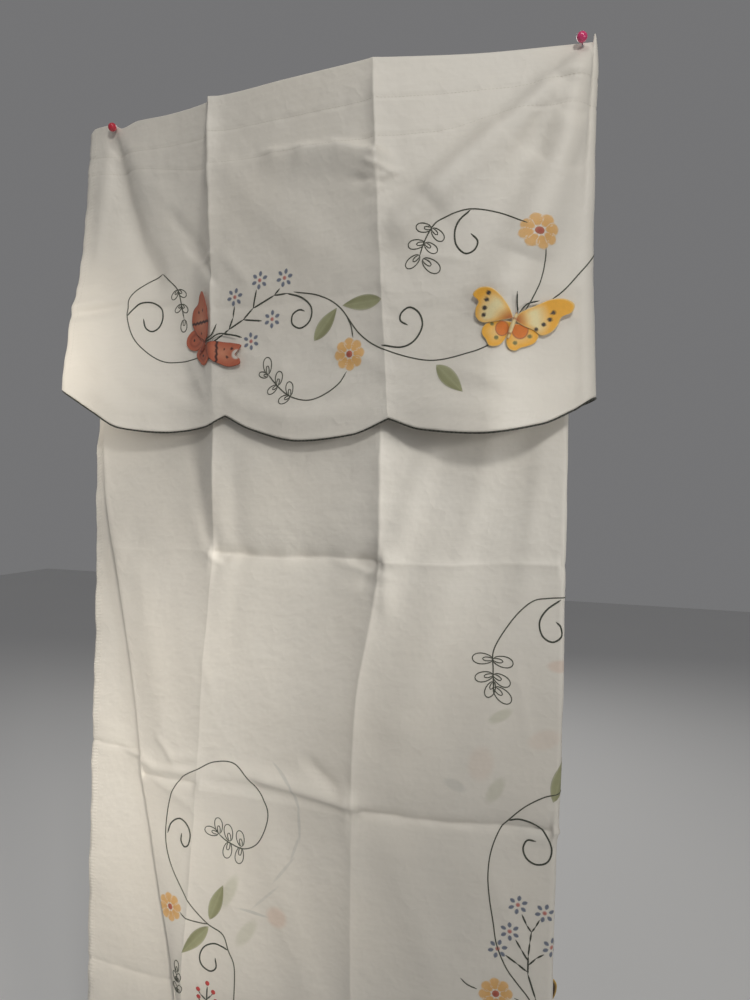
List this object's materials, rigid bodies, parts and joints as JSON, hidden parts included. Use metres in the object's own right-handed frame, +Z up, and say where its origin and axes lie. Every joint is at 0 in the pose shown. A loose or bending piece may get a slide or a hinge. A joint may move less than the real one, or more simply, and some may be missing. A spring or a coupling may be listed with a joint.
{
  "type": "embroidered curtain with attached valance and two push pins",
  "caption": "Ivory cotton window curtain with an attached scalloped valance, embroidered vines and sewn-on butterflies, hung folded in half from push pins",
  "frame": {"origin": "middle of the curtain's top edge, at the height of the two push pins", "axes": "+Z up along the drop, +X to the viewer's right along the top edge, +Y away from the room, through the layers"},
  "size_m": [0.6319, 0.0837, 1.3785],
  "materials": {
    "panel_cotton": "ivory cotton sateen with a soft sheen and packing creases",
    "valance_cotton": "ivory cotton sateen with a soft sheen and packing creases",
    "piping_cord": "dark green cotton-covered cord",
    "yellow_cotton": "matt cotton in yellow and orange with dark spots",
    "rust_cotton": "matt cotton in rust red with dark bands",
    "brown_cotton": "matt cotton in brown with a gold edge",
    "red_plastic": "glossy red ball head",
    "pink_plastic": "glossy deep pink ball head",
    "needle_steel": "bright plated steel needle"
  },
  "bodies": {
    "root": {"panel": "panel_cotton", "valance": "valance_cotton", "valance_piping": "piping_cord", "butterfly_yellow": "yellow_cotton", "butterfly_rust": "rust_cotton", "butterfly_brown": "brown_cotton", "pin_left_head": "red_plastic", "pin_left_needle": "needle_steel", "pin_right_head": "pink_plastic", "pin_right_needle": "needle_steel"}
  },
  "joints": []
}
